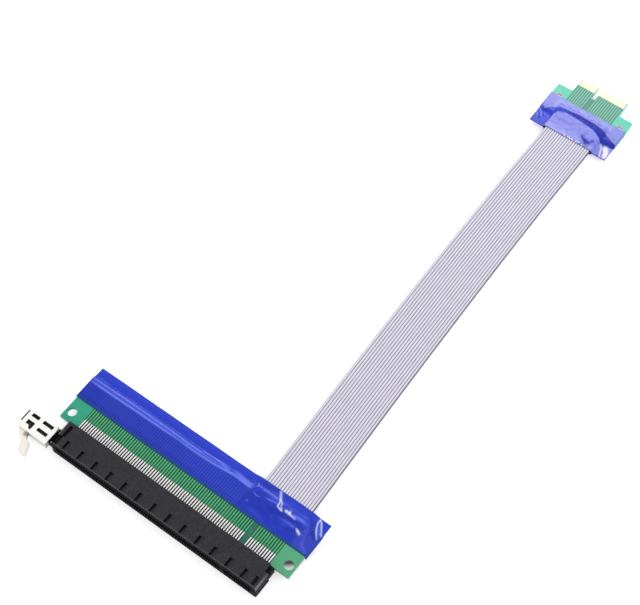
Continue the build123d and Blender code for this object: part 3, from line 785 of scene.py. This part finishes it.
def slot_film_height(word, folds):
    def height(x, y):
        value = film_height(word, x, y, SLOT_REAR_Y, 1, SLOT_MID_Z, SLOT_TENT)
        value += 0.04 * sin(x * 0.33 + y * 0.5) * ease(15.5, 18.0, y)
        return folded(value, folds, x, y, SLOT_FILM_LOW, SLOT_FILM_HIGH)
    return height


def slot_film_tone(lights):
    def tone_at(x, y):
        tone = mix(BLUE_ON_BOARD, BLUE_FREE, ease(22.6, 24.4, y))
        cloud = noise.noise((x * 0.25, y * 0.5, 3.0))
        comb = 0.5 + 0.5 * cos(2 * pi * (x - 0.5))
        over_traces = inside(-41.9, 19.5, 1.0, x) * inside(15.2, 22.2, 0.8, y)
        tone = mix(tone, BLUE_ON_TRACE, comb * over_traces)
        tone = mix(tone, BLUE_SHADE, 0.55 * (1 - comb) * over_traces)
        # painted shade towards the film's front and its left end, and a painted haze of light along its
        # rear
        tone = mix(tone, BLUE_SHADE, (0.4 - 0.2 * ease(-20.0, 20.0, x)) * (1 - ease(16.2, 17.8, y)))
        tone = mix(tone, BLUE_SHADE, 0.22 * (1 - ease(-20.0, 5.0, x)) * (1 - ease(21.6, 22.6, y)))
        tone = mix(tone, BLUE_HAZE, 0.1 * ease(26.2, 28.0, y) * (1 - ease(15.0, 22.0, x)))
        over_joints = inside(24.0, 41.0, 3.5, x + 3.0 * cloud) * inside(15.2, 21.5, 1.6, y)
        tone = mix(tone, BLUE_ON_JOINTS, 0.9 * over_joints)
        cloud_colour = BLUE_SHADE if cloud < 0 else BLUE_HAZE
        tone = mix(tone, cloud_colour, 0.35 * abs(cloud) * ease(20.0, 26.0, x))
        ribs = 0.55 + 0.4 * cos(2 * pi * x / 0.9)
        tone = mix(tone, BLUE_KEY_END, ribs * ease(42.6, 44.4, x) * (1 - ease(20.5, 23.0, y)))
        tone = mix(tone, BLUE_OVER_GREEN, 0.9 * (1 - ease(14.8, 15.9, y)))
        # painted highlights, glints and shade
        tone = lit(tone, lights, x, y)

        # painted shade: every cut edge is dark, apart from the one on the board
        edge_y = y + 2.0 * (1 - ease(14.5, 20.0, y))
        edge = 1 - ease(0.0, 0.35, from_edge(x, edge_y, SLOT_FILM_LOW, SLOT_FILM_HIGH))
        return mix(tone, BLUE_EDGE, 0.4 * edge)
    return tone_at


for side, word in SIDES:
    folds, lights = (SLOT_FOLDS, SLOT_LIGHTS) if side > 0 else ((), ())
    lay_film(f"blue_film_slot_{word}", side, SLOT_MID_Z, SLOT_FILM_LOW, SLOT_FILM_HIGH, SLOT_FILM_STEP,
             slot_film_height(word, folds), slot_film_tone(lights), f"slot_tape_{word}")


# Plug film, in the same way
PLUG_FILM_LOW = (11.3, 214.6)
PLUG_FILM_HIGH = (45.5, 230.7)
PLUG_FILM_STEP = 0.2
LAVENDER = linear(158, 160, 248)
LAVENDER_DULL = linear(128, 134, 222)
LAVENDER_BLUE = linear(108, 116, 216)
PLUG_BLUE = linear(44, 70, 212)
PLUG_DEEP = linear(34, 46, 176)
PLUG_OVER_GREEN = linear(118, 156, 196)
PLUG_LINE = linear(70, 70, 140)
# colour of painted glints and glare
PLUG_GLINT_WHITE = linear(244, 244, 254)

# The bridge from the ribbon down to the board looks dark: its two edges across the film
BRIDGE_FRONT = ((11.3, 222.6), (13.4, 222.0), (14.9, 224.0), (17.0, 225.3), (20.7, 225.9),
                (26.6, 226.8), (33.6, 226.6), (39.3, 225.4), (44.4, 223.2), (45.5, 222.9))
BRIDGE_REAR = ((17.0, 212.0), (17.6, 218.0), (18.0, 221.2), (18.8, 223.2), (21.9, 224.3),
               (28.8, 224.1), (34.8, 223.4), (38.6, 221.5), (40.7, 219.9), (45.5, 221.2))
PLUG_FOLDS = (
    # height, then the line
    (0.22, soft_line(0.5, (34.2, 218.4, 1), (37.2, 217.6, 1))),
    (0.20, soft_line(0.3, (12.4, 222.6, 1), (14.4, 219.4, 1))),
    (0.18, soft_line(0.3, (12.2, 219.6, 1), (13.6, 217.8, 1))),
)
PLUG_LIGHTS = (
    # painted highlights, glints, glare and shade: colour, then the line
    (PLUG_DEEP, soft_line(0.35, (11.3, 223.6, 0.8), (13.6, 221.8, 0.8), (14.6, 223.2, 0.2))),
    (PLUG_DEEP, soft_line(0.8, (32.9, 218.7, 0.9), (34.4, 217.6, 0.9), (36.3, 217.4, 1),
                          (37.3, 219.0, 0.9))),
    (PLUG_DEEP, soft_line(1.0, (34.6, 217.8, 0.9), (35.3, 216.4, 1), (35.9, 215.2, 0.8))),
    (LAVENDER_BLUE, soft_line(0.25, (33.4, 219.6, 0.8), (34.6, 218.8, 0.8), (35.6, 219.0, 0.5))),
    (LAVENDER_BLUE, soft_line(1.3, (39.0, 218.8, 0.7), (40.2, 216.6, 0.8), (41.2, 215.0, 0.7))),
    (LAVENDER, soft_line(0.26, (11.8, 221.8, 0.6), (14.2, 219.0, 0.7))),
    (LAVENDER, soft_line(0.24, (11.6, 219.4, 0.7), (13.0, 217.8, 0.7))),
    (LAVENDER, soft_line(0.30, (38.4, 219.6, 0.6), (40.0, 218.0, 0.4), (39.6, 216.2, 0.3))),
    (PLUG_GLINT_WHITE, soft_line(0.24, (40.4, 220.6, 0.5), (41.8, 218.2, 0.8), (42.8, 215.0, 0.8))),
    (PLUG_LINE, soft_line(0.2, (41.2, 220.6, 0.6), (42.5, 218.2, 0.7), (43.4, 215.4, 0.6))),
    (PLUG_GLINT_WHITE, soft_line(1.0, (42.9, 219.6, 1), (44.1, 218.2, 1), (44.6, 216.2, 1))),
    (PLUG_GLINT_WHITE, soft_line(0.7, (42.9, 219.6, 1), (44.0, 218.2, 1), (44.5, 216.4, 1))),
    (PLUG_LINE, soft_line(0.22, (41.6, 215.6, 0.9), (42.5, 214.7, 0.9))),
)


def plug_film_height(word, folds):
    def height(x, y):
        value = film_height(word, x, y, PLUG_REAR_Y, -1, PLUG_MID_Z, PLUG_TENT)
        return folded(value, folds, x, y, PLUG_FILM_LOW, PLUG_FILM_HIGH)
    return height


def plug_film_tone(lights):
    def tone_at(x, y):
        front, rear = along(BRIDGE_FRONT, x), along(BRIDGE_REAR, x)
        fine_cloud = 0.5 * noise.noise((x * 2.1, y * 1.9, 5.0))
        cloud = 0.5 + noise.noise((x * 0.5, y * 0.7, 0.0)) + fine_cloud
        crinkle = noise.noise((x * 1.3, y * 1.5, 12.0))
        at_ends = max(0.9 * (1 - ease(14.0, 19.0, x)), 0.8 * ease(38.5, 42.0, x))
        dull = max(at_ends, 0.7 * min(1.0, max(0.0, cloud)))
        tone = mix(LAVENDER, LAVENDER_DULL, dull)
        tone = mix(tone, PLUG_OVER_GREEN, 0.75 * ease(229.2, 230.6, y) * inside(17.0, 40.0, 1.0, x))
        bridge = ease(rear - 0.35, rear + 0.35, y) * (1 - ease(front - 0.3, front + 0.35, y))
        blue = mix(PLUG_BLUE, PLUG_DEEP, ease(17.5, 27.0, x))
        past_bridge = inside(front + 0.5, front + 2.4, 0.4, y)
        tone = mix(tone, PLUG_LINE, 0.5 * ease(0.15, 0.4, crinkle) * past_bridge)
        tone = mix(tone, blue, bridge)
        # painted highlights, glints and shade
        tone = lit(tone, lights, x, y)
        # painted glints and shade in flecks, and painted shade in line with each wire, along the front
        # edge over the ribbon
        flecked = (1 - ease(215.3, 215.9, y)) * inside(26.5, 35.5, 1.0, x)
        fleck_colour = PLUG_GLINT_WHITE if crinkle > 0 else PLUG_DEEP
        tone = mix(tone, fleck_colour, flecked * ease(0.0, 0.2, abs(crinkle)))
        wires = 0.5 + 0.5 * cos(2 * pi * (x - ribbon_middle(y)) / WIRE_PITCH)
        ragged = (1 - ease(214.7, 215.4, y)) * inside(18.2, 38.8, 0.3, x)
        tone = mix(tone, PLUG_LINE, 0.8 * wires * ragged)

        # painted shade: every cut edge is dark, apart from the one on the board and the stretch over
        # the ribbon
        edge_y = y - 2.0 * ease(224.0, 230.7, y)
        edge = 1 - ease(0.0, 0.4, from_edge(x, edge_y, PLUG_FILM_LOW, PLUG_FILM_HIGH))
        return mix(tone, BLUE_EDGE, 0.7 * edge * (1 - inside(18.2, 38.8, 0.3, x)))
    return tone_at


for side, word in SIDES:
    folds, lights = (PLUG_FOLDS, PLUG_LIGHTS) if side > 0 else ((), ())
    lay_film(f"blue_film_plug_{word}", side, PLUG_MID_Z, PLUG_FILM_LOW, PLUG_FILM_HIGH, PLUG_FILM_STEP,
             plug_film_height(word, folds), plug_film_tone(lights), f"plug_tape_{word}")


# Copper under the solder mask, on both faces of both boards. A coat is a film of mask over a
# poured area, and a trace stands a little higher.
COAT = 0.012
TRACE_COAT = 0.03
BARE_COAT = 0.02
KEY_BAR_COAT = 0.01
PADS_FRONT_Y = 5.45
PADS_REAR_Y = 9.2
SLOT_POUR_REAR_Y = 23.3
KEY_BAR_XS = (28.98, 31.02)
SLOT_TRACE_YS = (9.4, 22.4)
SLOT_TRACE_HALF = 0.22
PLUG_MASK_YS = (226.0, 240.2)
PLUG_KEY_REAR_Y = 237.2
PLUG_BARE_FRONT_Y = 243.4
PLUG_TRACE_HALF = 0.2


def coats(name, material, blocks, face_z, side, thickness):
    """Thin coats on a board's face, each a block given by its low and high corner."""
    shape = bmesh.new()
    for low, high in blocks:
        bottom, top = sorted((face_z, face_z + side * thickness))
        add_block(shape, (*low, bottom), (*high, top))
    add_piece(name, shape, material, "riser")


def board_block(left, right, low_y, high_y):
    """A block's low and high corner."""
    return (left, low_y), (right, high_y)


def plug_block(left, right, low_y, high_y):
    """As board_block, with its sides measured from the plug's middle line."""
    return board_block(PLUG_X + left, PLUG_X + right, low_y, high_y)


key_left, key_right = KEY_BAR_XS
gap_blocks = [board_block(-42.0, key_left, PADS_FRONT_Y, PADS_REAR_Y),
              board_block(key_right, 42.0, PADS_FRONT_Y, PADS_REAR_Y)]
pour_blocks = [board_block(-42.1, key_left, PADS_REAR_Y, SLOT_POUR_REAR_Y),
               board_block(key_right, 42.1, PADS_REAR_Y, SLOT_POUR_REAR_Y)]
key_bar_blocks = [board_block(key_left, key_right, PADS_FRONT_Y, SLOT_POUR_REAR_Y)]
trace_blocks = [board_block(x - SLOT_TRACE_HALF, x + SLOT_TRACE_HALF, *SLOT_TRACE_YS)
                for x in CONTACT_XS]
plug_pour_blocks = [plug_block(-10.4, -2.95, *PLUG_MASK_YS), plug_block(-1.05, 10.4, *PLUG_MASK_YS),
                    plug_block(-2.95, -1.05, PLUG_MASK_YS[0], PLUG_KEY_REAR_Y)]
plug_trace_blocks = [board_block(x - PLUG_TRACE_HALF, x + PLUG_TRACE_HALF, *PLUG_MASK_YS)
                     for x in FINGER_XS]
bare_blocks = [plug_block(-10.55, -2.98, PLUG_MASK_YS[1], PLUG_BARE_FRONT_Y),
               plug_block(-1.02, 10.55, PLUG_MASK_YS[1], PLUG_BARE_FRONT_Y)]

for side, word in SIDES:
    slot_face = SLOT_MID_Z + side * BOARD_HALF
    plug_face = PLUG_MID_Z + side * BOARD_HALF
    # painted shade between the pads
    coats(f"slot_pad_gap_shade_{word}", PAD_GAP_SHADE, gap_blocks, slot_face, side, COAT)
    coats(f"slot_copper_pour_{word}", MASK_DARK, pour_blocks, slot_face, side, COAT)
    coats(f"slot_key_bar_{word}", MASK_KEY, key_bar_blocks, slot_face, side, KEY_BAR_COAT)
    coats(f"slot_traces_{word}", MASK_TRACE, trace_blocks, slot_face, side, TRACE_COAT)
    coats(f"plug_copper_pour_{word}", MASK_PLUG, plug_pour_blocks, plug_face, side, COAT)
    coats(f"plug_traces_{word}", MASK_PLUG_TRACE, plug_trace_blocks, plug_face, side, TRACE_COAT)
    coats(f"plug_bare_laminate_{word}", LAMINATE, bare_blocks, plug_face, side, BARE_COAT)


# Painted shade: dark plates on the floors of the latch's cored pockets and slit, at this height from
# its middle plane
POCKET_FLOOR = 0.45
FLOOR_PLATE = 0.03
LATCH_POCKETS = (
    ((-52.35, -0.7), (-48.05, -0.7), (-48.05, 0.5), (-52.35, 0.5)),
    ((-52.35, -4.0), (-48.05, -4.0), (-48.05, -2.8), (-52.35, -2.8)),
    ((-57.4, -0.7), (-54.3, -0.7), (-54.3, 0.5), (-57.4, 0.5)),
    ((-57.4, -4.0), (-55.9, -4.0), (-55.2, -5.1), (-54.3, -5.1), (-54.3, -2.3), (-57.4, -2.3)),
    ((-59.475, -3.95), (-59.125, -3.95), (-59.125, 0.45), (-59.475, 0.45)),
)
core = bmesh.new()
for side, _ in SIDES:
    for outline in LATCH_POCKETS:
        corners = [core.verts.new((x, y, SLOT_MID_Z + side * POCKET_FLOOR)) for x, y in outline]
        base = core.faces.new(corners)
        plate = bmesh.ops.extrude_face_region(core, geom=[base])["geom"]
        top = [part for part in plate if isinstance(part, bmesh.types.BMVert)]
        bmesh.ops.translate(core, vec=(0, 0, side * FLOOR_PLATE), verts=top)
bmesh.ops.recalc_face_normals(core, faces=core.faces)
add_piece("latch_pocket_shade_plates", core, LATCH_POCKET_SHADE, "latch")


# Floor, world and lamps
# painted shadow on the floor, seen through the key end's hole
HOLE_SHADE = (46.2, 10.9)  # middle of the patch of floor seen through the key end's hole
FLOOR_GLOW = 0.45


def white_floor():
    """White, lifted towards the background's white, with a painted shadow under the key end's hole."""
    material = bpy.data.materials.new("floor_white")
    material.use_nodes = True
    tree = material.node_tree
    tree.nodes.new("ShaderNodeTexCoord")
    work = arithmetic(tree)
    x, y, _ = place_of(tree)
    from_side = work("SUBTRACT", work("MULTIPLY", work("SUBTRACT", y, HOLE_SHADE[1]), 0.8),
                     work("MULTIPLY", work("SUBTRACT", x, HOLE_SHADE[0]), 0.6))
    reach = work("SQRT", squared_reach(work, x, y, HOLE_SHADE))
    hole_shade = work("MULTIPLY", fade(tree, from_side, -1.7, 0.7, 0.2, 0.95),
                      fade(tree, reach, 2.0, 2.45, 1.0, 0.0))
    colour = tree.nodes.new("ShaderNodeMix")
    colour.data_type = "RGBA"
    colour.inputs["A"].default_value = (0.93, 0.93, 0.935, 1)
    colour.inputs["B"].default_value = (0.01, 0.02, 0.015, 1)
    shader = tree.nodes["Principled BSDF"]
    tree.links.new(hole_shade, colour.inputs["Factor"])
    tree.links.new(colour.outputs["Result"], shader.inputs["Base Color"])
    shader.inputs["Roughness"].default_value = 0.9
    shader.inputs["Specular IOR Level"].default_value = 0.0
    ray = tree.nodes.new("ShaderNodeLightPath").outputs
    seen = work("MAXIMUM", ray["Is Camera Ray"], ray["Is Glossy Ray"], ray["Is Transmission Ray"])
    glow = work("MULTIPLY", work("MULTIPLY", seen, FLOOR_GLOW), work("SUBTRACT", 1.0, hole_shade))
    shader.inputs["Emission Color"].default_value = (1.0, 1.0, 1.0, 1.0)
    tree.links.new(glow, shader.inputs["Emission Strength"])
    return material


floor_shape = bmesh.new()
bmesh.ops.create_grid(floor_shape, x_segments=1, y_segments=1, size=3.0)  # metres here and below
floor_mesh = bpy.data.meshes.new("studio_floor")
floor_shape.to_mesh(floor_mesh)
floor_shape.free()
studio_floor = bpy.data.objects.new("studio_floor", floor_mesh)
studio_floor.location = (0, 0, -0.0002)
bpy.context.scene.collection.objects.link(studio_floor)
floor_mesh.materials.append(white_floor())

world = bpy.data.worlds.new("soft_room")
bpy.context.scene.world = world
world.use_nodes = True
sky = world.node_tree.nodes["Background"]
sky.inputs["Color"].default_value = (1.0, 1.0, 1.0, 1.0)
sky.inputs["Strength"].default_value = 0.8


def add_lamp(name, place, aim, size, power):
    data = bpy.data.lights.new(name, "AREA")
    data.shape = "RECTANGLE"
    data.size, data.size_y = size
    data.energy = power
    lamp = bpy.data.objects.new(name, data)
    lamp.location = place
    lamp.rotation_euler = (Vector(aim) - Vector(place)).to_track_quat("-Z", "Y").to_euler()
    bpy.context.scene.collection.objects.link(lamp)


add_lamp("rear_softbox", (-0.25, 0.75, 0.62), (0.0, 0.05, 0.0), (0.5, 0.12), 1.6)
add_lamp("key_softbox", (0.7, 0.2, 0.9), (0.0, 0.1, 0.0), (0.5, 0.5), 1.6)

bpy.context.scene.view_settings.view_transform = "Standard"
